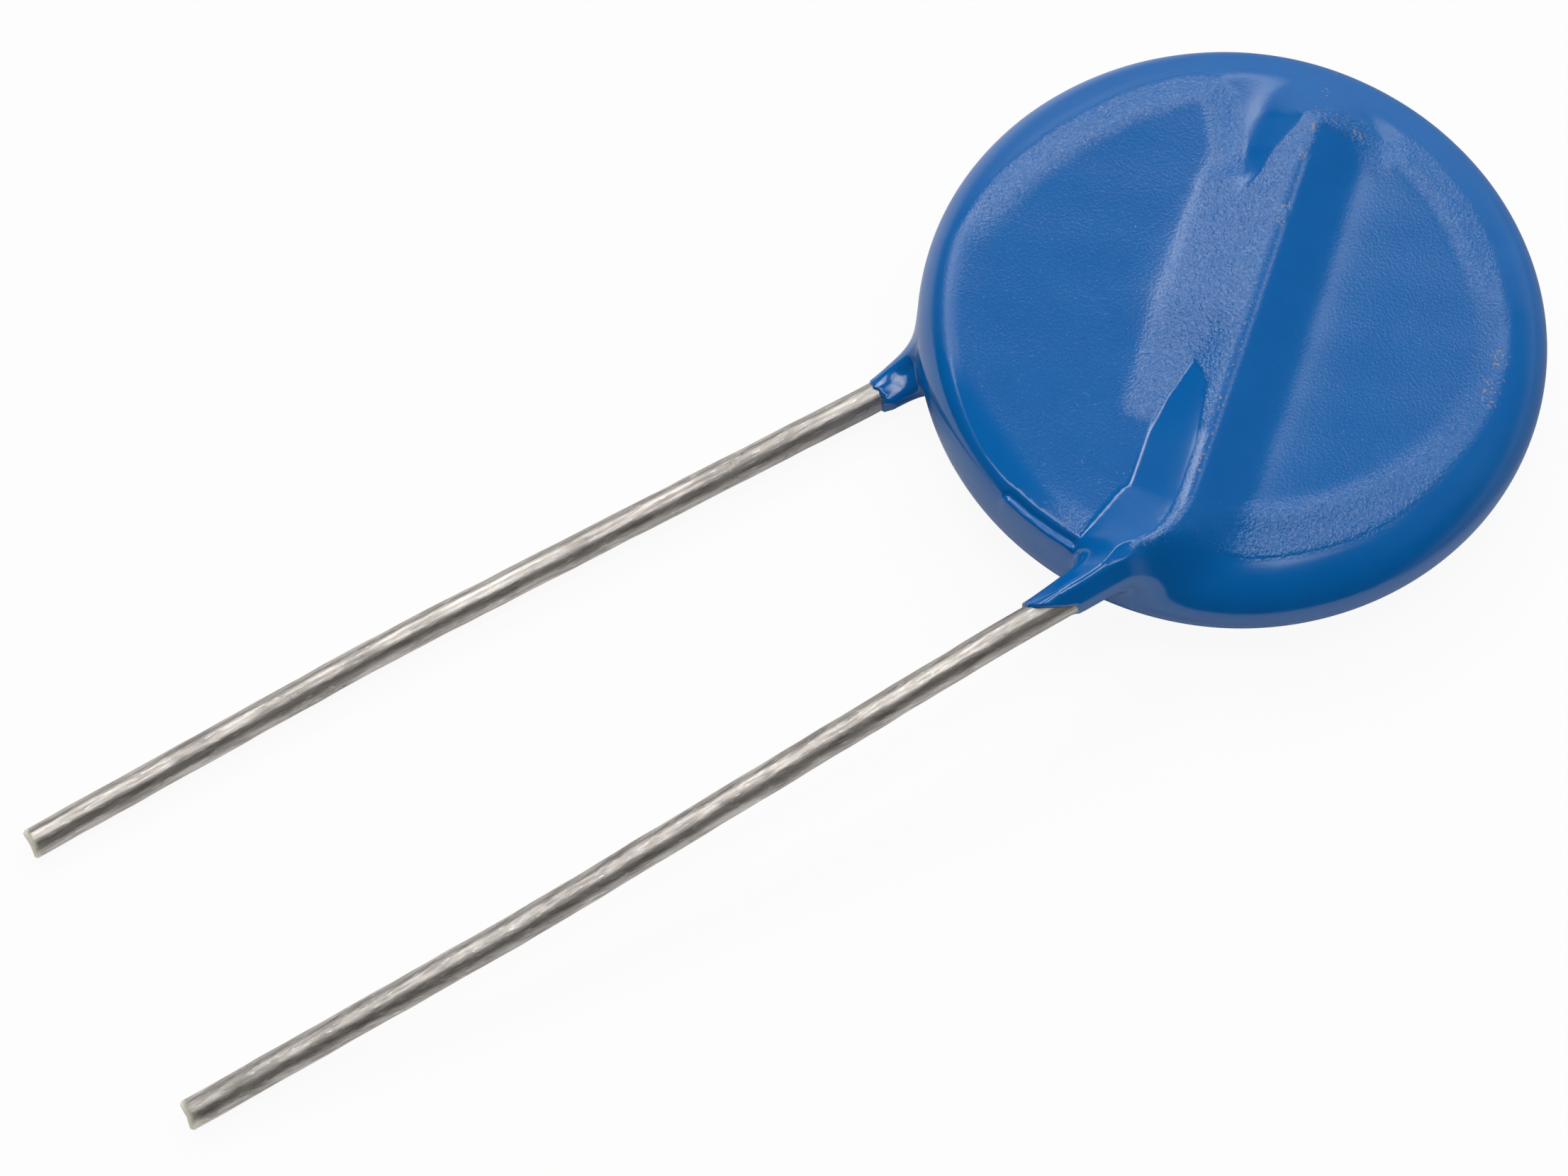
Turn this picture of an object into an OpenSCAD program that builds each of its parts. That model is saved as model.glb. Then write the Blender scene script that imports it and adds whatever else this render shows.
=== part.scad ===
// Disc varistor: a zinc oxide disc between two silver electrodes, a tinned wire soldered
// across each face, and one epoxy coat over the whole. It lies flat, as it comes to rest:
// on the ridge that the coat forms over the rear wire, and on the tips of both leads.
// The leads point along -Y, the disc lies parallel to the XY plane and +Z is up. The origin
// is the middle of the bounding box, on the surface that the part lies on.

/* [Ceramic disc] */
// Diameter of the zinc oxide disc
ceramic_d = 19.0; // [16:0.1:26]
// Thickness of the zinc oxide disc, which sets the voltage
ceramic_t = 2.0; // [1.2:0.1:5]
// Chamfer on the edges of the disc
ceramic_chamfer = 0.2; // [0.1:0.05:0.4]

/* [Electrodes] */
// Bare ring of ceramic left round each electrode
electrode_inset = 0.5; // [0.3:0.1:1.2]
// Thickness of each silver layer
electrode_t = 0.05; // [0.03:0.01:0.12]

/* [Solder] */
// Width of the solder mound at its foot
solder_w = 2.4; // [1.8:0.1:3]
// Solder between the wire and the electrode, and over the wire
solder_film = 0.05; // [0.03:0.01:0.12]
// Silver left clear between the solder and the edge of the electrode
solder_inset = 0.15; // [0.1:0.05:0.6]

/* [Leads] */
// Diameter of the tinned wire
lead_d = 1.0; // [0.7:0.05:1.3]
// Spacing of the leads, centre to centre, where they leave the coat
lead_pitch = 10.5; // [8:0.1:12.6]
// Sideways offset of the pair of wires from the centre of the disc
lead_shift = 0.4; // [-0.6:0.1:0.6]
// How far the leads reach past the lower rim of the coat
lead_past_rim = 31.9; // [20:0.1:45]
// How far up from the rim a wire turns to cross its face
turn_inside = 2.8; // [2:0.1:4]
// How far past the middle line of the pair a wire ends
cross_past = 4.4; // [3:0.1:5.4]
// Radius of the bend where a wire turns across its face
cross_bend_r = 2.0; // [1.4:0.1:3]
// Radius of the gentle bend just outside the coat, where a lead comes down to the table
droop_bend_r = 20; // [10:1:30]
// How far each lead bows away from the other one
lead_bow = 0.24; // [0.1:0.02:0.5]
// Radius of that bow
bow_bend_r = 120; // [60:5:160]
// Sideways drift of both tips from where the leads leave the coat
tip_drift = -0.65; // [-1.2:0.05:-0.1]

/* [Coating] */
// Coat outside the ceramic at the rim
rim_coat = 0.9; // [0.7:0.1:1.5]
// Coat over the electrodes, on the flat of the faces
face_coat = 0.6; // [0.45:0.05:0.8]
// Coat over the wires
ridge_coat = 0.4; // [0.3:0.05:0.6]
// Distance from a wire to the foot of the fillet beside its ridge
ridge_foot = 1.9; // [1.5:0.1:2.4]
// How much larger the radius of the rim is than half the coated thickness
rim_ease = 0.1; // [0.05:0.01:0.3]
// How far the coat runs down the front lead past the rim
front_neck = 2.6; // [1.6:0.1:4]
// How far the coat runs down the rear lead past the rim
rear_neck = 1.6; // [1.4:0.1:4]
// Length of the taper at the end of each neck
neck_taper = 0.9; // [0.5:0.1:1.2]
// Thickness of the coat at the very end of a neck
neck_edge = 0.08; // [0.05:0.01:0.2]
// Radius of the flare where a neck leaves the rim
flare_r = 1.5; // [1.2:0.1:1.8]

/* [Hidden] */
$fn = 64;

FRONT = 1;                    // the upper face, as the part lies
REAR = -1;                    // the lower face
UP = [0, 0, 1];

lead_r = lead_d / 2;
ridge_r = lead_r + ridge_coat;
coat_r = ceramic_d / 2 + rim_coat;
electrode_r = ceramic_d / 2 - electrode_inset;

// Heights above the middle plane of the disc
silver_h = ceramic_t / 2 + electrode_t;
wire_h = silver_h + solder_film + lead_r;
face_h = silver_h + face_coat;
crest_h = wire_h + ridge_r;

// Place of the disc: the lower ridge touches the table
disc_z = crest_h;
lead_reach = coat_r + lead_past_rim;
disc_y = (lead_reach - coat_r) / 2;

// Where a wire crosses its face, measured from the pair's own middle line
wire_end_reach = electrode_r - solder_w / 2 - solder_inset;
wire_end_y = sqrt(pow(wire_end_reach, 2) - pow(cross_past + abs(lead_shift), 2));
turn_y = rim_drop(FRONT) - turn_inside;

// Drop from the centre of the disc to the rim beside a lead, and to the end of its neck
function rim_drop(side) = sqrt(pow(coat_r, 2) - pow(lead_shift + side * lead_pitch / 2, 2));
function neck_reach(side) = rim_drop(side) + (side == FRONT ? front_neck : rear_neck);

// A lead leaves its neck parallel to the disc and then comes down to rest on its tip
neck_clear = 0.3;
function droop_angle(side) =
    atan((disc_z + side * wire_h - lead_r) / (lead_reach - neck_reach(side)));
function droop_reach(side) =
    neck_reach(side) + neck_clear + droop_bend_r * tan(abs(droop_angle(side)) / 2);
bow_at = 0.42;                // where the bow lies, as a share of the free lead from its tip

function on_face(side, x, y) = [lead_shift + side * x, disc_y + y, disc_z + side * wire_h];
function tip(side) =
    [lead_shift + side * lead_pitch / 2 + tip_drift, disc_y - lead_reach, lead_r];
function droop(side) = on_face(side, lead_pitch / 2, -droop_reach(side));
function bow(side) = tip(side) + bow_at * (droop(side) - tip(side)) + [side * lead_bow, 0, 0];
function turn(side) = on_face(side, lead_pitch / 2, -turn_y);
function wire_end(side) = on_face(side, -cross_past, wire_end_y);

function unit(v) = v / norm(v);
function axes(x, y, z, at) = [[x.x, y.x, z.x, at.x], [x.y, y.y, z.y, at.y], [x.z, y.z, z.z, at.z]];

// Unit vector along step i of a route, turning angle at point i, and tangent length there
function step(p, i) = unit(p[i + 1] - p[i]);
function turn_angle(p, i) = acos(min(1, step(p, i - 1) * step(p, i)));
function tangent(p, radii, i) = radii[i] == 0 ? 0 : radii[i] * tan(turn_angle(p, i) / 2);

// Stands its children on a point, with local Z along a direction and local Y upwards
module facing(at, dir) {
    left = unit(cross(UP, dir));
    multmatrix(axes(left, cross(dir, left), dir, at)) children();
}

// Sweeps a profile along a route of straight stretches and round bends. A straight stretch
// runs a little way into each bend, whose section is a hair larger, so they are one solid.
lap = 0.02;
bend_swell = 1.003;
module run(points, radii) {
    last = len(points) - 1;
    for (i = [0 : last - 1]) {
        dir = step(points, i);
        before = tangent(points, radii, i) - (i > 0 ? lap : 0);
        after = tangent(points, radii, i + 1) - (i < last - 1 ? lap : 0);
        facing(points[i] + before * dir, dir)
            linear_extrude(norm(points[i + 1] - points[i]) - before - after) children();
    }
    for (i = [1 : last - 1]) {
        dir = step(points, i - 1);
        next = step(points, i);
        inwards = unit(next - (next * dir) * dir);
        centre = points[i] - tangent(points, radii, i) * dir + radii[i] * inwards;
        multmatrix(axes(-inwards, dir, cross(-inwards, dir), centre))
            rotate_extrude(angle = turn_angle(points, i))
                translate([radii[i], 0]) scale(bend_swell) children();
    }
}

// Turns what was drawn for the front face over on to the rear face
module face(side) {
    translate([lead_shift, 0, disc_z]) rotate([0, side == FRONT ? 0 : 180, 0])
        translate([-lead_shift, 0, -disc_z]) children();
}

module ceramic_disc() {
    top = ceramic_t / 2;
    flat_r = ceramic_d / 2 - ceramic_chamfer;
    color("dimgray") translate([0, disc_y, disc_z]) rotate_extrude()
        polygon([[0, -top], [flat_r, -top], [ceramic_d / 2, ceramic_chamfer - top],
                 [ceramic_d / 2, top - ceramic_chamfer], [flat_r, top], [0, top]]);
}

module electrode(side) {
    color("gainsboro") translate([0, disc_y, disc_z + side * (ceramic_t + electrode_t) / 2])
        cylinder(h = electrode_t, r = electrode_r, center = true);
}

// Half the section of what wraps a wire, about the wire's axis: a hollow fillet rises from
// its foot at the height low and meets the round top at an angle. The curve of the fillet is
// drawn towards an elbow, set as shares of its width and its height.
round_steps = 5;
elbow_out = 0.3;
elbow_up = 0.15;
function bell(r, foot, low, base, meet) =
    let (joint = r * [cos(meet), sin(meet)],
         elbow = [r + elbow_out * (foot - r), low + elbow_up * (joint.y - low)])
    [[0, base], [foot, base],
     for (i = [0 : round_steps - 1]) let (t = i / round_steps)
         pow(1 - t, 2) * [foot, low] + 2 * t * (1 - t) * elbow + t * t * joint,
     for (i = [0 : round_steps]) let (a = meet + (90 - meet) * i / round_steps)
         r * [cos(a), sin(a)]];

// Sweeps such a section along a route and closes the given ends with round caps, each a
// hair smaller than the section so that it seats inside it
module mound(points, radii, r, foot, low, base, meet, ends) {
    half = bell(r, foot, low, base, meet);
    mirrored = [for (i = [len(half) - 2 : -1 : 1]) [-half[i].x, half[i].y]];
    run(points, radii) polygon(concat(half, mirrored));
    for (end = ends) translate(end)
        rotate_extrude() polygon(bell(r - lap, foot - lap, low, base, meet));
}

cross_route = [droop(FRONT), turn(FRONT), wire_end(FRONT)];
cross_radii = [0, cross_bend_r, 0];

solder_meet = 10;             // angle at which the fillets of the solder meet its round top
module solder_mound() {
    dir = step(cross_route, 1);
    from = turn(FRONT) + (tangent(cross_route, cross_radii, 1) + solder_w / 2) * dir;
    ends = [from, wire_end(FRONT)];
    silver = silver_h - wire_h;
    mound(ends, [0, 0], lead_r + solder_film + lap, solder_w / 2, silver + lap, silver,
          solder_meet, ends);
}

module solder(side) {
    color("silver") difference() {
        face(side) solder_mound();
        lead(side);
    }
}

module lead(side) {
    color("tan") run([tip(side), bow(side), droop(side), turn(side), wire_end(side)],
                     [0, bow_bend_r, droop_bend_r, cross_bend_r, 0])
        circle(r = lead_r);
}

// A disc with flat faces and a round rim, about the centre of the ceramic
module round_rim_disc(half_t, rim_r) {
    translate([0, disc_y, disc_z]) rotate_extrude() {
        square_r = coat_r - rim_r;
        translate([0, -half_t]) square([square_r, 2 * half_t]);
        intersection() {
            translate([square_r, 0]) circle(r = rim_r);
            translate([square_r / 2, -half_t]) square([coat_r, 2 * half_t]);
        }
    }
}

// A ridge of coat over a wire. Its fillets run on a little below the face.
ridge_sink = 0.06;
ridge_meet = 50;              // angle at which the fillets of a ridge meet its round top
module ridge(side) {
    foot = on_face(FRONT, lead_pitch / 2, -rim_drop(side) - ridge_foot / 2);
    low = face_h - wire_h - ridge_sink;
    intersection() {
        face(side) mound([foot, turn(FRONT), wire_end(FRONT)], cross_radii, ridge_r, ridge_foot,
                         low, -ridge_r / 2, ridge_meet, [wire_end(FRONT)]);
        round_rim_disc(crest_h + ridge_sink, crest_h);
    }
}

// The neck of coat round the front lead, from inside the rim to its thin tapered end
neck_step = 0.03;             // how much thinner the neck is than the ridge it leaves
neck_r = ridge_r - neck_step;
flare_sink = 0.15;            // how far the flare stays inside the ridge and the neck
flare_end_r = neck_r - flare_sink;
module neck(rim_y, end_y) {
    end = on_face(FRONT, lead_pitch / 2, -end_y);
    length = end_y - rim_y + ridge_foot;
    facing(end, [0, 1, 0]) rotate_extrude()
        polygon([[0, 0], [lead_r + neck_edge, 0], [neck_r, neck_taper], [neck_r, length],
                 [0, length]]);
    // The trumpet in which the neck leaves the rim
    top = disc_z + crest_h - flare_sink;
    root = [end.x, disc_y - rim_y + flare_r / 2, top - flare_r];
    tail = [end.x, end.y + neck_taper, top - flare_end_r];
    facing(root, unit(tail - root))
        cylinder(h = norm(tail - root), r1 = flare_r, r2 = flare_end_r);
}

module coat_outside() {
    round_rim_disc(face_h, face_h + rim_ease);
    for (side = [FRONT, REAR]) {
        ridge(side);
        face(side) neck(rim_drop(side), neck_reach(side));
    }
}

module epoxy_coating() {
    color("royalblue") difference() {
        coat_outside();
        ceramic_disc();
        for (side = [FRONT, REAR]) {
            electrode(side);
            face(side) solder_mound();
            lead(side);
        }
    }
}

ceramic_disc();
electrode(FRONT);  // front_electrode
electrode(REAR);  // rear_electrode
solder(FRONT);  // front_solder
solder(REAR);  // rear_solder
lead(FRONT);  // front_lead
lead(REAR);  // rear_lead
epoxy_coating();
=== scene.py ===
import math

import bmesh
import bpy
import numpy as np
from mathutils import Matrix, Vector

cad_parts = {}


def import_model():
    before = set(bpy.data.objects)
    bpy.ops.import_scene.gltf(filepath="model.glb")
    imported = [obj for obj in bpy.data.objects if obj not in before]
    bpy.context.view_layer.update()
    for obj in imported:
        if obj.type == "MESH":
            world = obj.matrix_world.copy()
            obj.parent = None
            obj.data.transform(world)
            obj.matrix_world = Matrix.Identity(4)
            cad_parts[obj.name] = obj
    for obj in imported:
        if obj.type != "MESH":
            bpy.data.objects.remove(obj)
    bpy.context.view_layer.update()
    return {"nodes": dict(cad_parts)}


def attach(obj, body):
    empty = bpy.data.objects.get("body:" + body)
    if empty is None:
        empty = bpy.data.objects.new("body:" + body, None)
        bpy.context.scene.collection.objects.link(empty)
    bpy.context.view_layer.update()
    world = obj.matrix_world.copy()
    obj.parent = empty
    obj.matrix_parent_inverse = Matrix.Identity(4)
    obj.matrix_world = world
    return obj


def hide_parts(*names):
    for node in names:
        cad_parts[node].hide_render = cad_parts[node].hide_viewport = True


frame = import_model()

MM = 0.001

# ---------------------------------------------------------------------------
# Sizes shared by the pieces, in millimetres. Heights on the disc are measured
# from its middle plane. The rear face is the front one turned half round
# about an axis along Y through x = TURN_X.
# ---------------------------------------------------------------------------
DISC_Y = 15.95
DISC_Z = 2.5
TURN_X = 0.4
RIM_R = 10.4
REAR_FLAT_R = 8.6
FACE_H = 1.65
CREST_H = 2.5
WIRE_H = 1.6
WIRE_R = 0.5
FRONT_NECK_X = 5.62
REAR_NECK_X = -4.74
# Box that the coat stays in, and the grain of its mesh
COAT_LOW = (-10.39, 4.0, 0.0)
COAT_HIGH = (10.4, 26.34, 5.0)
COAT_GRAIN = 0.125

# Corners and bend radii of the two wires, from the cut tip to the soldered end
FRONT_WIRE = ([(5.0, -26.35, 0.5), (5.513, -13.956, 2.012), (5.7, 3.16, 4.1),
               (5.7, 10.02, 4.1), (-4.0, 21.9, 4.1)], [0, 120, 20, 2, 0])
REAR_WIRE = ([(-5.5, -26.35, 0.5), (-5.467, -13.299, 0.668), (-4.76, 4.723, 0.9),
              (-4.76, 10.02, 0.9), (4.8, 21.9, 0.9)], [0, 120, 20, 2, 0])


def route(corners, radii, step):
    """Points about a step apart along straight stretches joined by round bends."""
    corners = [Vector(c) for c in corners]
    points = [corners[0]]
    for before, corner, after, radius in zip(corners, corners[1:], corners[2:], radii[1:]):
        into, out = (corner - before).normalized(), (after - corner).normalized()
        angle = into.angle(out)
        reach = radius * math.tan(angle / 2)
        start = corner - reach * into
        centre = start + radius * (out - out.dot(into) * into).normalized()
        axis = into.cross(out).normalized()
        count = max(3, math.ceil(radius * angle / step))
        stretch = (start - points[-1]).length
        base, stops = points[-1], max(1, round(stretch / step))
        points += [base.lerp(start, i / stops) for i in range(1, stops + 1)]
        for i in range(1, count + 1):
            spoke = Matrix.Rotation(angle * i / count, 3, axis) @ (start - centre)
            points.append(centre + spoke)
    base, stops = points[-1], max(1, round((corners[-1] - points[-1]).length / step))
    return points + [base.lerp(corners[-1], i / stops) for i in range(1, stops + 1)]


# ---------------------------------------------------------------------------
# The shape of the epoxy coat, as a field that is zero on its surface
# ---------------------------------------------------------------------------
def smooth(low, high, value):
    """Zero at low, one at high and level at both. Low may be the larger of the two."""
    t = np.clip((value - low) / (high - low), 0, 1)
    return t * t * (3 - 2 * t)


def hump(t):
    """One at t = 0 and zero from t = 1 outwards, level at both."""
    return (1 - np.clip(t, 0, 1) ** 2) ** 2


def join(a, b, blend):
    """The nearer of two distances, with a fillet where they are alike."""
    near = np.maximum(blend - np.abs(a - b), 0) / blend
    return np.minimum(a, b) - near * near * blend / 4


def beside(path, x, y):
    """Distance from a path in the plane of the disc, how far that lies to its right (1)
    or left (-1), and the y of the nearest point on it."""
    best = np.full(x.shape, 1e9)
    turned, at = np.zeros(x.shape), np.zeros(x.shape)
    for (ax, ay), (bx, by) in zip(path, path[1:]):
        ux, uy = bx - ax, by - ay
        length = math.hypot(ux, uy)
        t = np.clip(((x - ax) * ux + (y - ay) * uy) / length**2, 0, 1)
        dx, dy = x - ax - t * ux, y - ay - t * uy
        gap = dx * dx + dy * dy
        near = gap < best
        best = np.where(near, gap, best)
        turned = np.where(near, (uy * dx - ux * dy) / length, turned)
        at = np.where(near, ay + t * uy, at)
    best = np.sqrt(best)
    return best, turned / np.maximum(best, 1e-6), at


# Line of the crest: up the neck, round the bend and across the face to the nose
CREST = [(p.x, p.y) for p in route(
    [(5.64, 3.6, 0), (5.6, 10.11, 0), (-4.2, 21.8, 0)], [0, 3, 0], 0.6)]
# Arc in which the crest ends, and the line beyond which the coat sags beside the nose
NOSE = [(-4.2, 21.7), (-4.2, 22.2), (-3.9, 22.7), (-3.3, 22.95)]
SAG = [(-13, 5), (-9.8, 15.5), (-9.0, 17.9), (-8.3, 19.2), (-7.5, 20.0), (-6.8, 20.1),
       (-6.0, 19.85), (-5.2, 19.45), (-4.5, 19.0), (-4.0, 18.9), (-4.2, 20.4), (-4.4, 21.7),
       (-4.2, 22.6), (-3.5, 23.2), (-2.5, 23.4), (-2.2, 24.3), (-2.6, 26)]
# Left flank, by the y of the crest: outer edge of the glossy web low down, share of the
# height that the broad foot takes, and where the steep pocket beside the nose begins
WEB_AT = [6, 7.1, 7.8, 9, 10, 10.5, 12.26, 13.41, 14.64, 16, 18]
WEB_OUT = [1.3, 1.65, 1.9, 2.3, 2.35, 2.2, 2.1, 1.87, 1.4, 0.95, 0.8]
FOOT_SHARE = [0, 0, 0, 0.05, 0.08, 0.1, 0.2, 0.35, 0.6, 1, 1]
POCKET_AT = [19.5, 20, 20.8, 21.8, 22]
POCKET_IN = [1.5, 1.24, 1.05, 0.5, 0.35]
# How far out the flat of a face reaches, by direction from the centre in degrees
FLAT_TURN = [-180, -165, -150, -138, -115, -90, -66, -55, -40, -15, 0, 30, 90, 135, 180]
FLAT_R = [8.5, 8.65, 9.0, 9.3, 9.35, 9.7, 9.65, 9.0, 7.75, 7.85, 7.95, 8.5, 8.55, 8.7, 8.5]
# How strongly the flat rounds off before its edge, by direction
CROWN_TURN = [-180, -160, -145, -110, -90, -78, -62, -50, -30, 0, 20, 60, 75, 103, 150, 180]
CROWN_DROP = [0.2, 0.14, 0.06, 0.02, 0.02, 0.12, 0.1, 0.12, 0.2, 0.14, 0.03, 0.03, 0.17, 0.2,
              0.2, 0.2]
# How much coarser the sand is along the edge of the flat, by direction; this also sets how many
# glints the coat's colour paints there
EDGE_TURN = [-180, -150, -135, -80, -65, -50, -30, 20, 50, 75, 105, 115, 130, 180]
EDGE_SAND_AND_GLINTS = [1, 0.8, 0.1, 0.1, 0.6, 0.5, 1, 0.6, 0.1, 1, 1, 0.4, 0.8, 1]
# A little ledge of coat on the shoulder beside the front neck, and the groove above it
LEDGE = [(1.8, 5.86), (2.6, 6.06), (3.5, 6.36), (4.2, 6.66)]
GROOVE = [(1.6, 6.15), (2.5, 6.36), (3.4, 6.65), (4.1, 6.95)]


def by_turn(turns, values, x, y):
    """A value that changes with the direction from the centre, in degrees."""
    return np.interp(np.degrees(np.arctan2(y - DISC_Y, x)), turns, values)


def flat_reach(x, y):
    """Radius of the flat of the front face in the direction of each place."""
    return by_turn(FLAT_TURN, FLAT_R, x, y)


def beyond_sag(x, y):
    """How far a place lies beyond the line where the coat sags."""
    gap, turned, _ = beside(SAG, x, y)
    return -gap * turned


def ahead_of_nose(x, y):
    """How far a place lies past the end of the crest, along the crest."""
    return 0.766 * (y - 21.8) - 0.643 * (x + 4.2)


def slope_off(distance, reach, blend, foot=0.003):
    """One at distance zero, falling straight to zero at the reach, and rounded at both ends:
    the top by the blend, the foot by its own share."""
    ease = np.sqrt(distance * distance + blend * blend) - blend
    rise = 1 - ease / (np.sqrt(reach * reach + blend * blend) - blend)
    lifted = 0.5 * (rise + np.sqrt(rise * rise + foot)) - 0.25 * foot
    return np.clip(np.where(rise > 0.9, rise, lifted), 0, 1)


def spread(gap):
    """The slight fall of the left half of the face, from the crest to the far rim."""
    return 0.24 * np.maximum(1 - gap / 8, 0) ** 2


def left_flank(gap, at):
    """Share of the height of the crest at a distance left of it. Beside the nose the flank
    turns steep in a pocket and runs out softly."""
    share = np.interp(at, WEB_AT, FOOT_SHARE)
    round_off = np.interp(at, [7, 10, 12, 14], [0.12, 0.15, 0.25, 0.5])
    tail = np.interp(at, [16, 19], [0.08, 0.002])
    foot = 0.76 * slope_off(gap, 3.1, round_off, tail) + spread(gap)
    web = slope_off(gap, np.interp(at, WEB_AT, WEB_OUT), round_off)
    past = gap - np.interp(at, POCKET_AT, POCKET_IN)
    scoop = smooth(19.4, 20.5, at) * 0.14 * (past + np.sqrt(past * past + 0.02))
    over = np.minimum(share * foot + (1 - share) * web - scoop, 1) - spread(gap)
    soft = 0.1 * smooth(19.2, 20.4, at) * smooth(3.3, 2.0, gap)
    return spread(gap) + np.maximum(0.5 * (over + np.sqrt(over * over + soft)) - 0.25 * soft, 0)


def right_flank(gap, at):
    """Share of the height of the crest at a distance right of it."""
    foot = np.interp(at, [4, 8, 10, 12, 16, 21], [1.0, 1.4, 1.7, 1.9, 2.0, 1.9])
    return slope_off(gap, foot, 0.25, 0.12)


def face_height(x, y):
    """Height of the coat over the front face, before the rim rounds it off."""
    gap, turned, at = beside(CREST, x, y)
    rightness = 0.5 + 0.5 * turned
    ridge = left_flank(gap, at) * (1 - rightness) + right_flank(gap, at) * rightness
    # A slight waviness of the whole face
    lumps = (np.sin(1.3 * x + 0.7 * y) * np.sin(0.9 * y - 0.5 * x + 1.0)
             + 0.6 * np.sin(2.1 * x - 1.7 * y + 2.0))
    # The fall before the edge of the flat, and the sag beside the nose
    rho = np.hypot(x, y - DISC_Y)
    crown = np.maximum(rho - flat_reach(x, y) + 0.7, 0) ** 3
    crown = by_turn(CROWN_TURN, CROWN_DROP, x, y) * crown / (0.3 + crown)
    past = beyond_sag(x, y) + 0.75
    sag = (0.12 * smooth(0, 1, past) + 0.02 * np.clip(past - 0.5, 0, 2)) * smooth(-1.2, -2.2, x)
    height = (FACE_H + (CREST_H - FACE_H) * ridge
              - np.maximum(crown, sag * smooth(0.6, 0.1, ridge)) * (1 - ridge)
              + 0.005 * lumps * (1 - ridge))
    return (height
            + 0.27 * hump(beside(LEDGE, x, y)[0] / 0.34)
            - 0.1 * hump(beside(GROOVE, x, y)[0] / 0.22))


def keel(across, above, foot_r, top_r, top):
    """Distance from the section of a neck: a round foot drawn up to a narrow top."""
    across = np.abs(across)
    lean = (foot_r - top_r) / top
    rest = np.sqrt(1 - lean * lean)
    along = -lean * across + rest * above
    flank = rest * across + lean * above - foot_r
    foot = np.hypot(across, above) - foot_r
    tip = np.hypot(across, above - top) - top_r
    return np.where(along < 0, foot, np.where(along > rest * top, tip, flank))


def sunk(y):
    """How far a neck has sunk into the disc at that y."""
    return 1.5 * smooth(7.7, 9.8, y)


def front_neck(x, y, z):
    """Distance from the neck on the upper wire, which ends slantwise."""
    taper = smooth(4.3, 6.2, y)
    across = x - FRONT_NECK_X
    section = keel(across, z - WIRE_H + sunk(y), 0.535 + 0.13 * taper, 0.34 - 0.2 * taper,
                   0.25 + 0.51 * taper)
    end = 4.36 + 1.44 * np.clip(across + 0.5, 0, 1) ** 2.2
    return np.maximum(np.maximum(section, end - y), y - 10)


def rear_neck(x, y, z):
    """Distance from the neck on the lower wire, with its ragged end and its drip."""
    taper = smooth(4.9, 6.3, y)
    across = x - REAR_NECK_X
    section = keel(across, -z - WIRE_H + sunk(y), 0.56 + 0.1 * taper, 0.42 - 0.2 * taper,
                   0.2 + 0.48 * taper)
    ragged = 0.05 * np.sin(9 * across) + 0.03 * np.sin(23 * across + 1)
    end = 5.4 + ragged - 0.28 * hump((across - 0.5) / 0.22)
    drip = np.hypot(across - 0.42, z + WIRE_H - 0.2) - 0.32
    return np.maximum(np.maximum(join(section, drip, 0.2), end - y), y - 10)


def coat_field(points):
    """Rough distance of each point from the surface of the coat."""
    x, y, z = points[:, 0], points[:, 1], points[:, 2] - DISC_Z
    front = z >= 0
    height, flat = np.empty(x.shape), np.empty(x.shape)
    height[front] = face_height(x[front], y[front])
    flat[front] = flat_reach(x[front], y[front])
    height[~front] = face_height(2 * TURN_X - x[~front], y[~front])
    flat[~front] = REAR_FLAT_R
    rho = np.hypot(x, y - DISC_Y)
    width = RIM_R - flat
    out = np.maximum(rho - flat, 0) / width
    level = (z / height) ** 2 + out**2 - 1
    slope = np.sqrt((2 * z / height**2) ** 2 + (2 * out / width) ** 2)
    disc = level / np.maximum(slope, 0.4)
    coat = join(disc, front_neck(x, y, z), 0.8 + 0.2 * smooth(5.7, 5.5, x))
    wide = 0.8 + 0.8 * smooth(-4.6, -5.2, x) * smooth(9, 7.5, y)
    return join(coat, rear_neck(x, y, z), wide)


def settle(points, rounds):
    """Moves points on to the surface of the coat."""
    probe = 0.004
    for _ in range(rounds):
        value = coat_field(points)
        slope = np.stack([coat_field(points + probe * axis) - value
                          for axis in np.eye(3)], axis=-1) / probe
        steep = np.maximum((slope * slope).sum(axis=1), 0.1)
        step = slope * (value / steep)[:, None]
        size = np.linalg.norm(step, axis=1, keepdims=True)
        points = points - step * np.minimum(1, 0.4 / np.maximum(size, 1e-9))
    return np.clip(points, COAT_LOW, COAT_HIGH)


def read_points(mesh):
    """The corners of a mesh, one row each."""
    flat = np.empty(len(mesh.vertices) * 3, np.float32)
    mesh.vertices.foreach_get("co", flat)
    return flat.reshape(-1, 3).astype(float)


def write_points(mesh, points):
    """Moves the corners of a mesh to the rows of points."""
    mesh.vertices.foreach_set("co", points.astype(np.float32).ravel())
    mesh.update()


def remeshed(piece, size):
    """Replaces a piece's mesh with an even one of that grain."""
    modifier = piece.modifiers.new("even", "REMESH")
    modifier.mode = "VOXEL"
    modifier.voxel_size = size
    bpy.context.view_layer.update()
    seen = piece.evaluated_get(bpy.context.evaluated_depsgraph_get())
    mesh = bpy.data.meshes.new_from_object(seen)
    piece.modifiers.remove(modifier)
    piece.data = mesh
    return mesh


def new_piece(name, bm):
    """An object in the scene, made of a finished bmesh."""
    mesh = bpy.data.meshes.new(name)
    bm.to_mesh(mesh)
    bm.free()
    piece = bpy.data.objects.new(name, mesh)
    bpy.context.scene.collection.objects.link(piece)
    return piece


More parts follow.
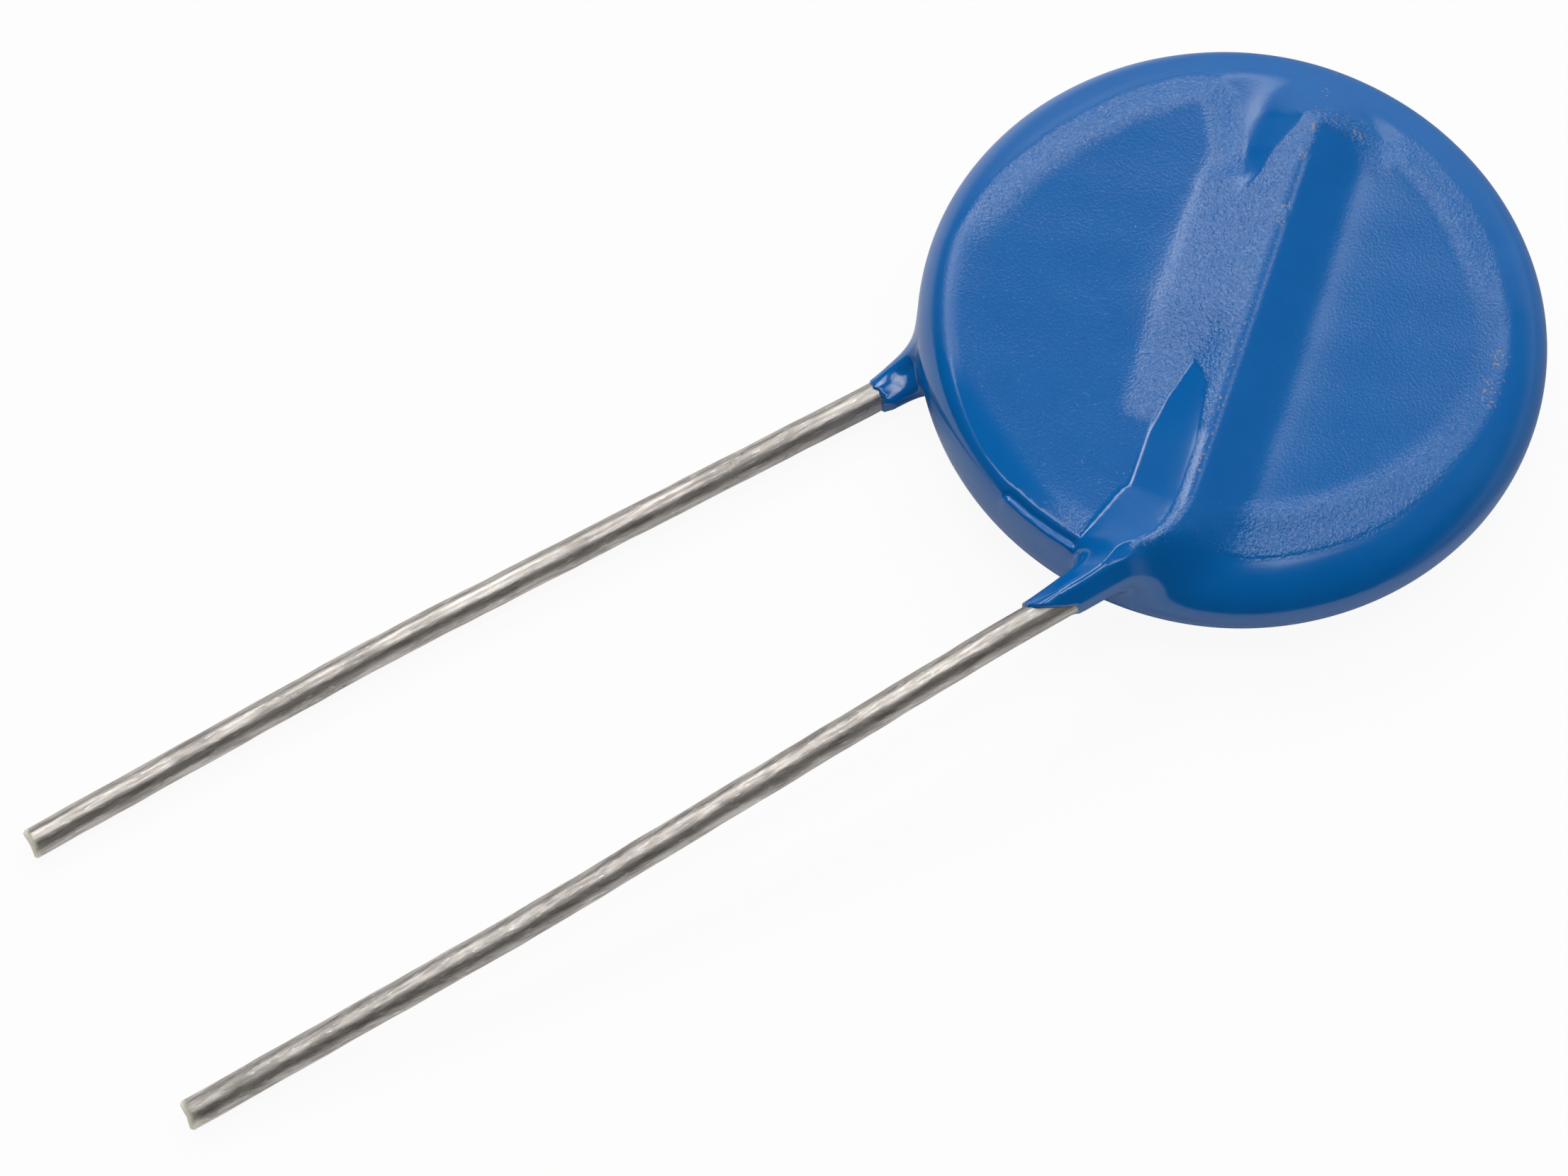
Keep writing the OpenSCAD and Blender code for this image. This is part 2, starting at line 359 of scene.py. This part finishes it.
def paint_attribute(mesh, name, values):
    """Stores a value per corner, for a material to read."""
    layer = mesh.attributes.new(name, "FLOAT", "POINT")
    layer.data.foreach_set("value", values.astype(np.float32))


def sand_glints_and_wear(points):
    """How sandy, how hazy and how rubbed the coat is at each point. Where the sand is coarse, the
    coat's colour also paints glints.
    """
    x, y, z = points[:, 0], points[:, 1], points[:, 2] - DISC_Z
    x = np.where(z < 0, 2 * TURN_X - x, x)
    gap, turned, at = beside(CREST, x, y)
    rho = np.hypot(x, y - DISC_Y)
    left = -turned * gap
    ahead = ahead_of_nose(x, y)
    turn = np.degrees(np.arctan2(y - DISC_Y, x)) % 360
    edge = np.where(z < 0, REAR_FLAT_R, flat_reach(x, y))
    beyond = np.where(z < 0, 0, by_turn([-60, -45, 0, 20], [0, 0.45, 0.4, 0], x, y))
    rim = smooth(0.25, 0.6, rho - edge - beyond)
    # The glossy parts: the leaf on the web, the pocket, the sag beyond it, the necks
    outer = np.interp(at, WEB_AT, WEB_OUT)
    inner = np.interp(at, [9, 10.5, 12.2, 12.95, 13.97, 14.64], [0.2, 0.4, 0.35, 0.5, 0.72, 1.4])
    leaf = (smooth(-0.02, -0.16, left - outer) * smooth(-0.06, 0.06, left - inner)
            * smooth(14.7, 14.5, at))
    inside = np.interp(at, POCKET_AT, POCKET_IN)
    pocket = (smooth(-0.1, 0.2, left - inside) * smooth(2.2, 1.4, left) * smooth(19, 20, at)
              * smooth(0.3, -0.1, ahead))
    pool = smooth(0.1, 0.5, beyond_sag(x, y)) * np.maximum(
        smooth(0, 0.3, left - inside), smooth(0.1, 0.4, ahead))
    shaded = smooth(0.05, 0.35, -left) * smooth(2.6, 0.7, -left) * smooth(0.2, -0.2, ahead)
    neck = smooth(7.4, 6.6, y)
    calm = (1 - leaf) * (1 - pocket) * (1 - neck) * (1 - 0.6 * shaded)
    # The satin parts: a little of the sag, the left half of the rim, the lower shoulder
    satin = np.maximum(0.4 * pool, rim * smooth(60, 110, turn) * smooth(250, 210, turn))
    lower = smooth(210, 225, turn) * smooth(288, 278, turn)
    satin = np.maximum(satin, smooth(-0.3, 0, rho - edge) * smooth(0.8, 0.5, rho - edge) * lower)
    haze = calm * (0.65 * (1 - 0.5 * rim) + 1.1 * satin)
    # Coarser sand on the left flank, along the edge of the flat and along the sag; where it is
    # coarse the material also paints pale and dark flecks as glints
    band = np.maximum(
        smooth(0.05, 0.3, left) * smooth(3.5, 2.4, left) * smooth(12.4, 13, at),
        np.maximum(smooth(1.3, 0.5, edge - rho) * by_turn(EDGE_TURN, EDGE_SAND_AND_GLINTS, x, y),
                   smooth(-1.2, -0.6, beyond_sag(x, y)) * smooth(-1.2, -2.2, x)))
    sand = calm * (1 - rim) * (1 - 0.75 * pool) * (0.75 + 1.45 * band)
    # Rubbed places: the crest, its nose and a patch near the rim
    crest = np.exp(-((left - 0.05) / 0.13) ** 2) * smooth(4.5, 12.5, at)
    nose = np.exp(-((beside(NOSE, x, y)[0]) / 0.2) ** 2)
    patch = hump(np.abs(0.66 * (x - 6.3) - 0.75 * (y - 21.9)) / 2.1) * hump(
        np.abs(0.75 * (x - 6.3) + 0.66 * (y - 21.9)) / 0.55)
    wear = np.maximum(np.maximum(0.85 * crest, nose), 0.95 * patch)
    return sand, haze, np.where(z < 0, 0.5 * wear, wear)


def crisp(points):
    """Whether each point lies where the coat has small or sharp features: on the front
    along the crest, the web, the sag and the ledge, and all round both necks."""
    x, y, z = points[:, 0], points[:, 1], points[:, 2] - DISC_Z
    gap, turned, at = beside(CREST, x, y)
    left = -turned * gap
    outer = np.interp(at, WEB_AT, WEB_OUT)
    web_edge = (np.abs(left - outer) < 0.35) & (at < 14.8)
    sag_edge = (np.abs(beyond_sag(x, y)) < 0.3) & (x < -2.8)
    neck = (y < 7.2) & ((np.abs(x - FRONT_NECK_X) < 0.9) | (np.abs(x + 4.8) < 0.9))
    front = (gap < 0.6) | web_edge | sag_edge | (beside(LEDGE, x, y)[0] < 0.5)
    return neck | (front & (z > 0.6))


def refine(mesh):
    """Halves the grain of the mesh at the small and sharp features."""
    fine = crisp(read_points(mesh))
    bm = bmesh.new()
    bm.from_mesh(mesh)
    edges = [e for e in bm.edges if fine[e.verts[0].index] and fine[e.verts[1].index]]
    bmesh.ops.subdivide_edges(bm, edges=edges, cuts=1, use_grid_fill=True)
    bm.to_mesh(mesh)
    bm.free()


def epoxy_coat():
    """The coat, which starts as a plain disc with two stubs and settles into its shape."""
    bm = bmesh.new()
    bmesh.ops.create_cone(bm, cap_ends=True, segments=96, radius1=RIM_R - 0.6,
                          radius2=RIM_R - 0.6, depth=3.2,
                          matrix=Matrix.Translation((0, DISC_Y, DISC_Z)))
    length = 6
    for x, z, end in ((FRONT_NECK_X, DISC_Z + WIRE_H, 4.4), (-4.8, DISC_Z - WIRE_H, 4.9)):
        stand = (Matrix.Translation((x, end + length / 2, z))
                 @ Matrix.Rotation(math.pi / 2, 4, "X"))
        bmesh.ops.create_cone(bm, cap_ends=True, segments=24, radius1=0.6, radius2=0.6,
                              depth=length, matrix=stand)
    piece = new_piece("epoxy_coat", bm)
    for grain, rounds in ((0.3, 6), (COAT_GRAIN, 5)):
        mesh = remeshed(piece, grain)
        write_points(mesh, settle(read_points(mesh), rounds))
    refine(mesh)
    write_points(mesh, settle(read_points(mesh), 4))
    points = read_points(mesh)
    for name, values in zip(("sand", "haze", "wear"), sand_glints_and_wear(points)):
        paint_attribute(mesh, name, values)
    mesh.shade_smooth()
    write_points(mesh, points * MM)
    return piece


# ---------------------------------------------------------------------------
# The leads
# ---------------------------------------------------------------------------
def swept_wire(name, middle):
    """A round wire along the points of its middle line, a little thinner at the tip."""
    bm = bmesh.new()
    ring = bmesh.ops.create_circle(bm, segments=32, radius=WIRE_R)["verts"]
    loop = bm.edges[:]
    last = None
    for i, point in enumerate(middle):
        ahead = middle[min(i + 1, len(middle) - 1)] - middle[max(i - 1, 0)]
        along = ahead.normalized()
        left = Vector((0, 0, 1)).cross(along).normalized()
        place = Matrix((left, along.cross(left), along)).transposed().to_4x4()
        place.translation = point
        if i == 0:
            place = place @ Matrix.Scale(0.86, 4)
            bmesh.ops.contextual_create(bm, geom=loop)
        else:
            grown = bmesh.ops.extrude_edge_only(bm, edges=loop)["geom"]
            ring = [g for g in grown if isinstance(g, bmesh.types.BMVert)]
            loop = [g for g in grown if isinstance(g, bmesh.types.BMEdge)]
        bmesh.ops.transform(bm, matrix=place @ (last.inverted() if last else Matrix()),
                            verts=ring)
        last = place
    bmesh.ops.contextual_create(bm, geom=loop)
    bmesh.ops.recalc_face_normals(bm, faces=bm.faces)
    return new_piece(name, bm)


def lead(name, corners, radii, shear):
    """A drawn wire along its route, with a sheared tip."""
    middle = route(corners, radii, 0.3)
    middle.insert(1, middle[0].lerp(middle[1], 0.3))
    piece = swept_wire(name, middle)
    mesh = piece.data
    points = read_points(mesh)
    y = points[:, 1]
    tip = corners[0]
    # The free end wanders sideways and is a little thinner here and there
    free = smooth(4, 2, y)
    wander = 0.006 * np.sin(1.9 * y + tip[0]) + 0.003 * np.sin(4.7 * y + 1)
    width = 1 - 0.008 * (1 + np.sin(2.6 * y + tip[0]) * np.sin(1.1 * y)) * free
    straight = route(corners[:4], radii[:4], 1)
    mid_x = np.interp(y, [p.y for p in straight], [p.x for p in straight])
    points[:, 0] = np.where(y < 8, mid_x + (points[:, 0] - mid_x) * width + wander * free,
                            points[:, 0])
    # The cut end slants and carries a burr
    near = smooth(tip[1] + 0.5, tip[1], y)
    across = points[:, 0] - tip[0]
    burr = smooth(0.2, 0.5, across) * smooth(0.15, 0.4, np.abs(across))
    points[:, 1] = y + near * (0.14 + shear * across - 0.13 * burr)
    paint_attribute(mesh, "cut", smooth(tip[1] + 0.36, tip[1] + 0.2, y))
    write_points(mesh, points * MM)
    mesh.shade_smooth()
    return piece


# ---------------------------------------------------------------------------
# Materials
# ---------------------------------------------------------------------------
class Shade:
    """A socket in a material, on which plain arithmetic adds Math nodes."""

    def __init__(self, paint, socket):
        self.paint, self.socket = paint, socket

    def _math(self, operation, a, b):
        return self.paint.node("ShaderNodeMath", {"operation": operation}, {0: a, 1: b})

    def __add__(self, other):
        return self._math("ADD", self, other)

    __radd__ = __add__

    def __sub__(self, other):
        return self._math("SUBTRACT", self, other)

    def __rsub__(self, other):
        return self._math("SUBTRACT", other, self)

    def __mul__(self, other):
        return self._math("MULTIPLY", self, other)

    __rmul__ = __mul__

    def rise(self, low, high):
        """Nothing below low, one above high, and smooth in between."""
        return self.paint.node("ShaderNodeMapRange", {"interpolation_type": "SMOOTHSTEP"},
                               {"Value": self, "From Min": low, "From Max": high})


class Paint:
    """The nodes of a material, or of the world, in the making."""

    def __init__(self, owner):
        owner.use_nodes = True
        self.owner = owner
        self.nodes = owner.node_tree.nodes
        self.links = owner.node_tree.links
        self.nodes.clear()

    def node(self, kind, settings, inputs, output=0):
        """A new node with its settings and inputs, as the shade of one of its outputs."""
        made = self.nodes.new(kind)
        for key, value in settings.items():
            if key == "stops":
                ramp = made.color_ramp.elements
                while len(ramp) < len(value):
                    ramp.new(0.5)
                for stop, (place, colour) in zip(ramp, value):
                    stop.position, stop.color = place, (*colour, 1)
            else:
                setattr(made, key, value)
        for key, value in inputs.items():
            if isinstance(value, Shade):
                self.links.new(value.socket, made.inputs[key])
            else:
                made.inputs[key].default_value = value
        return Shade(self, made.outputs[output]) if len(made.outputs) else made

    def place(self, scale=(1, 1, 1)):
        """Object coordinates, stretched."""
        coords = self.node("ShaderNodeTexCoord", {}, {}, "Object")
        return self.node("ShaderNodeMapping", {}, {"Vector": coords, "Scale": scale})

    def noise(self, size, detail=2.0, rough=0.5, stretch=(1, 1, 1)):
        """Noise whose grains are about that many millimetres across."""
        return self.node("ShaderNodeTexNoise", {}, {
            "Vector": self.place(stretch), "Scale": 1 / (size * MM), "Detail": detail,
            "Roughness": rough})

    def attribute(self, name):
        """A value stored per corner of the mesh."""
        return self.node("ShaderNodeAttribute", {"attribute_name": name}, {}, "Fac")

    def mix(self, factor, a, b):
        """Colour a turning into colour b."""
        a = (*a, 1) if isinstance(a, tuple) else a
        b = (*b, 1) if isinstance(b, tuple) else b
        return self.node("ShaderNodeMix", {"data_type": "RGBA"}, {0: factor, 6: a, 7: b}, 2)

    def bump(self, height, depth):
        """A normal for a relief, whose depth is in millimetres."""
        return self.node("ShaderNodeBump", {}, {"Height": height, "Distance": depth * MM})

    def surface(self, inputs):
        """The finished material, with those inputs of its shader."""
        shader = self.node("ShaderNodeBsdfPrincipled", {}, inputs)
        self.node("ShaderNodeOutputMaterial", {}, {"Surface": shader})
        return self.owner


def new_paint(name):
    return Paint(bpy.data.materials.new(name))


def blue_epoxy():
    """Glossy to satin blue with fine sand, pits, tan specks where it is rubbed, and painted
    glints on the coarse sand.
    """
    paint = new_paint("blue_epoxy")
    sand, haze, wear = (paint.attribute(name) for name in ("sand", "haze", "wear"))
    cloud = paint.noise(1.6, 3)
    grain = paint.noise(0.09, 2, 0.6)
    fine = paint.noise(0.06, 2)
    blue = paint.mix(cloud.rise(0.3, 0.7), (0.0015, 0.138, 0.47), (0.002, 0.146, 0.485))
    blue = paint.mix(fine.rise(0.6, 0.8) * sand * 0.12, blue, (0.03, 0.17, 0.48))
    # Painted sparkle: the pale flecks are painted glints of light on the coarse sand, and the
    # darker flecks are painted shade between the grains. The coarse sand also raises the bump
    # below.
    coarse_sand_and_glints = sand.rise(0.8, 2.2)
    blue = paint.mix(paint.noise(0.1, 2).rise(0.52, 0.7) * coarse_sand_and_glints * 0.4, blue, (0.17, 0.33, 0.63))
    blue = paint.mix(paint.noise(0.13, 2).rise(0.58, 0.75) * coarse_sand_and_glints * 0.35, blue, (0, 0.09, 0.4))
    specks = paint.noise(0.11, 1).rise(0.6, 0.67)
    patches = paint.noise(0.5, 2).rise(0.4, 0.55)
    stray = paint.noise(0.14, 1).rise(0.78, 0.81) * 0.4
    rubbed = (specks * patches * wear).rise(0.05, 0.6) + stray * sand
    colour = paint.mix(rubbed * 0.7, blue, (0.4, 0.29, 0.2))
    pits = paint.noise(0.16, 1).rise(0.74, 0.82) * sand
    height = (grain * sand + 2.6 * paint.noise(0.15, 2, 0.7) * coarse_sand_and_glints
              + 0.06 * paint.noise(0.4, 2) - pits * 0.7)
    return paint.surface({
        "Base Color": colour,
        "Roughness": 0.12 + 0.14 * haze + 0.2 * rubbed,
        "Normal": paint.bump(height, 0.0125),
        "IOR": 1.56,
    })


def tinned_wire():
    """Dull drawn tin with streaks and grime, and a pale cut end."""
    paint = new_paint("tinned_wire")
    cut = paint.attribute("cut")
    drawn = paint.noise(0.07, 3, 0.65, (1, 0.12, 1))
    streak = paint.noise(0.13, 3, 0.65, (1, 0.08, 1))
    cloud = paint.noise(0.9, 3, 0.6, (1, 0.4, 1))
    pits = paint.noise(0.13, 2, 0.6, (1, 0.6, 1))
    dull = cloud.rise(0.35, 0.7)
    tin = paint.mix(dull, (0.56, 0.525, 0.49), (0.43, 0.4, 0.37))
    tin = paint.mix(streak.rise(0.42, 0.62) * 0.7, tin, (0.25, 0.225, 0.205))
    tin = paint.mix(drawn.rise(0.58, 0.7) * 0.7, tin, (0.86, 0.83, 0.78))
    grime = pits.rise(0.62, 0.75) * cloud.rise(0.5, 0.65)
    tin = paint.mix(grime * 0.7, tin, (0.12, 0.1, 0.085))
    tin = paint.mix(cut, tin, (0.95, 0.91, 0.74))
    return paint.surface({
        "Base Color": tin,
        "Metallic": 0.72 * (1 - 0.5 * grime) * (1 - 0.8 * cut),
        "Roughness": 0.36 + 0.14 * dull + 0.15 * grime,
        "Normal": paint.bump(drawn + pits * 0.5, 0.008),
    })


def smooth_solder():
    """Bright smooth metal."""
    paint = new_paint("solder")
    cloud = paint.noise(0.6, 3)
    tone = paint.mix(cloud.rise(0.3, 0.7), (0.6, 0.6, 0.6), (0.72, 0.72, 0.71))
    return paint.surface({
        "Base Color": tone,
        "Metallic": 1.0,
        "Roughness": 0.3 + 0.15 * cloud,
        "Normal": paint.bump(paint.noise(0.3, 2), 0.02),
    })


def fired_silver():
    """A matt, slightly warm metal layer."""
    paint = new_paint("fired_silver")
    cloud = paint.noise(1.2, 3)
    tone = paint.mix(cloud.rise(0.3, 0.7), (0.68, 0.67, 0.63), (0.8, 0.79, 0.76))
    return paint.surface({
        "Base Color": tone,
        "Metallic": 0.9,
        "Roughness": 0.5 + 0.15 * cloud,
        "Normal": paint.bump(paint.noise(0.08, 2), 0.01),
    })


def sintered_zinc_oxide():
    """A dark matt ceramic."""
    paint = new_paint("zinc_oxide")
    grain = paint.noise(0.1, 3)
    tone = paint.mix(grain.rise(0.35, 0.65), (0.03, 0.035, 0.03), (0.05, 0.055, 0.048))
    return paint.surface({
        "Base Color": tone,
        "Roughness": 0.7 + 0.15 * grain,
        "Normal": paint.bump(grain, 0.01),
    })


def finish_as(piece, material):
    """Gives a piece its material."""
    piece.data.materials.clear()
    piece.data.materials.append(material)


# ---------------------------------------------------------------------------
# The object
# ---------------------------------------------------------------------------
coat = epoxy_coat()
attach(coat, "root")
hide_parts("epoxy_coating")
finish_as(coat, blue_epoxy())

tin = tinned_wire()
for name, (corners, radii), shear in (("front_wire", FRONT_WIRE, 0.04),
                                      ("rear_wire", REAR_WIRE, 0.08)):
    wire = lead(name, corners, radii, shear)
    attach(wire, "root")
    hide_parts(name.replace("wire", "lead"))
    finish_as(wire, tin)

solder, silver, zinc_oxide = smooth_solder(), fired_silver(), sintered_zinc_oxide()
finish_as(frame["nodes"]["ceramic_disc"], zinc_oxide)
for side in ("front", "rear"):
    finish_as(frame["nodes"][side + "_electrode"], silver)
    finish_as(frame["nodes"][side + "_solder"], solder)


# ---------------------------------------------------------------------------
# Floor, lights and camera
# ---------------------------------------------------------------------------
# Directions from the object: to the camera, to where the flat of the face mirrors the
# camera, and to the sides
CAMERA_SIDE = Vector((0.63, -0.53, 0.57)).normalized()
MIRROR_UP = Vector((-0.326, 0.202, 0.923)).normalized()
LEFT_SIDE = Vector((-0.78, -0.52, 0.36)).normalized()
RIGHT_SIDE = Vector((0.45, 0.5, 0.74)).normalized()
FRONT_SIDE = Vector((0.1, -0.8, 0.6)).normalized()
# Place on the ring in degrees, and brightness, of each lamp
LAMP_RING = ((75, 2.2), (115, 2.7), (155, 2.8), (190, 3.9),
             (219, 4.3), (299, 3.5), (328, 3.2), (354, 3))


def floor():
    """A pale card, white to the camera but for a faint shadow. The object mirrors it as
    white in front and at the sides, as a dim grey behind the disc, which is painted shade
    for the floor that the disc shades, and as lit close to it."""
    bm = bmesh.new()
    bmesh.ops.create_grid(bm, x_segments=2, y_segments=2, size=1.5)
    piece = new_piece("floor", bm)
    paint = new_paint("white_card")
    path = paint.nodes.new("ShaderNodeLightPath")
    camera_ray = Shade(paint, path.outputs["Is Camera Ray"])
    mirrored = (Shade(paint, path.outputs["Is Glossy Ray"])
                + Shade(paint, path.outputs["Is Transmission Ray"]))
    y = paint.node("ShaderNodeSeparateXYZ", {}, {"Vector": paint.place()}, "Y")
    behind = y.rise(0.018, 0.026)
    lit = paint.node("ShaderNodeBsdfDiffuse", {}, {"Color": (0.93, 0.93, 0.93, 1)})
    # Painted shade: a fixed dim grey glow that the object mirrors behind the disc, in place of
    # the floor that the disc shades
    painted_shade_grey = paint.node("ShaderNodeEmission", {}, {"Color": (1, 1, 1, 1), "Strength": 0.25})
    white = paint.node("ShaderNodeEmission", {}, {"Color": (1, 1, 1, 1), "Strength": 1.0})
    card = paint.node("ShaderNodeMixShader", {}, {0: mirrored * behind * 0.9, 1: lit, 2: painted_shade_grey})
    reach = paint.node("ShaderNodeVectorMath", {"operation": "DISTANCE"},
                       {0: paint.place(), 1: (0, DISC_Y * MM, 0)}, "Value")
    away = reach.rise(0.011, 0.017)
    seen = camera_ray * 0.93 + mirrored * (1 - behind) * away * 0.8
    card = paint.node("ShaderNodeMixShader", {}, {0: seen, 1: card, 2: white})
    paint.node("ShaderNodeOutputMaterial", {}, {"Surface": card})
    piece.data.materials.append(paint.owner)


def soft_lamp(name, toward, radius, strength):
    """A round soft lamp that shines on the object from that direction. Its strength is
    how bright it looks, where 1 is white."""
    data = bpy.data.lights.new(name, "AREA")
    data.shape = "DISK"
    data.size = 2 * radius
    data.energy = strength * math.pi * math.pi * radius**2
    lamp = bpy.data.objects.new(name, data)
    aim, distance = Vector((0, 0.012, 0.003)), 0.6
    lamp.location = aim + distance * toward
    lamp.rotation_mode = "QUATERNION"
    lamp.rotation_quaternion = toward.to_track_quat("Z", "Y")
    bpy.context.scene.collection.objects.link(lamp)
    return lamp


def lamps():
    """A ring of soft lamps round the direction in which the flat of the face mirrors
    the camera, open towards the back right."""
    across = Vector((0, 1, 0)).cross(MIRROR_UP).normalized()
    along = MIRROR_UP.cross(across)
    lean = math.radians(24)
    for i, (turn, strength) in enumerate(LAMP_RING):
        a = math.radians(turn)
        toward = (math.cos(lean) * MIRROR_UP
                  + math.sin(lean) * (math.cos(a) * across + math.sin(a) * along))
        soft_lamp("lamp_%d" % i, toward.normalized(), 0.1, strength)
    for name, toward, strength in (("fill_right", RIGHT_SIDE, 1.5),
                                   ("fill_front", FRONT_SIDE, 1.1)):
        soft_lamp(name, toward, 0.15, strength).visible_glossy = False


def world():
    """White to the camera. It is mirrored as grey, and darker on the camera's side, at the
    left and right and where the flat of the face mirrors it."""
    made = bpy.data.worlds.new("studio")
    bpy.context.scene.world = made
    paint = Paint(made)
    look = paint.node("ShaderNodeTexCoord", {}, {}, "Generated")

    def facing(direction):
        """How nearly a ray goes that way, where 1 is exactly."""
        return paint.node("ShaderNodeVectorMath", {"operation": "DOT_PRODUCT"},
                          {0: look, 1: direction}, "Value")

    dark = facing(CAMERA_SIDE).rise(0.2, 0.62)
    left = facing(LEFT_SIDE).rise(0.72, 0.9)
    above = facing(MIRROR_UP).rise(0.945, 0.985)
    right = facing(RIGHT_SIDE).rise(0.6, 0.9)
    glow = 0.5 * (1 - dark) * (1 - left) * (1 - 0.8 * right) * (1 - above) + 0.02
    path = paint.nodes.new("ShaderNodeLightPath")
    seen = Shade(paint, path.outputs["Is Camera Ray"])
    strength = seen + (1 - seen) * glow
    sky = paint.node("ShaderNodeBackground", {}, {"Color": (1, 1, 1, 1), "Strength": strength})
    paint.node("ShaderNodeOutputWorld", {}, {"Surface": sky})


def camera():
    """A long lens that looks down on the object from the front right."""
    data = bpy.data.cameras.new("camera")
    data.lens = 106.4
    data.sensor_width = 36
    data.clip_start, data.clip_end = 0.005, 10
    made = bpy.data.objects.new("camera", data)
    azimuth, elevation, roll = math.radians(58.2), math.radians(67.435), math.radians(0.53)
    back = Vector((math.sin(azimuth) * math.cos(elevation),
                   -math.cos(azimuth) * math.cos(elevation), math.sin(elevation)))
    right = (-back).cross(Vector((0, 0, 1))).normalized()
    up = right.cross(-back)
    level = math.cos(roll) * right + math.sin(roll) * up
    upright = math.cos(roll) * up - math.sin(roll) * right
    turn = Matrix((level, upright, back)).transposed().to_4x4()
    aim, distance = Vector((-0.774, -0.873, 0)), 152.26
    turn.translation = MM * (aim + distance * back)
    made.matrix_world = turn
    bpy.context.scene.collection.objects.link(made)
    bpy.context.scene.camera = made


floor()
lamps()
world()
camera()
bpy.context.scene.view_settings.view_transform = "Standard"
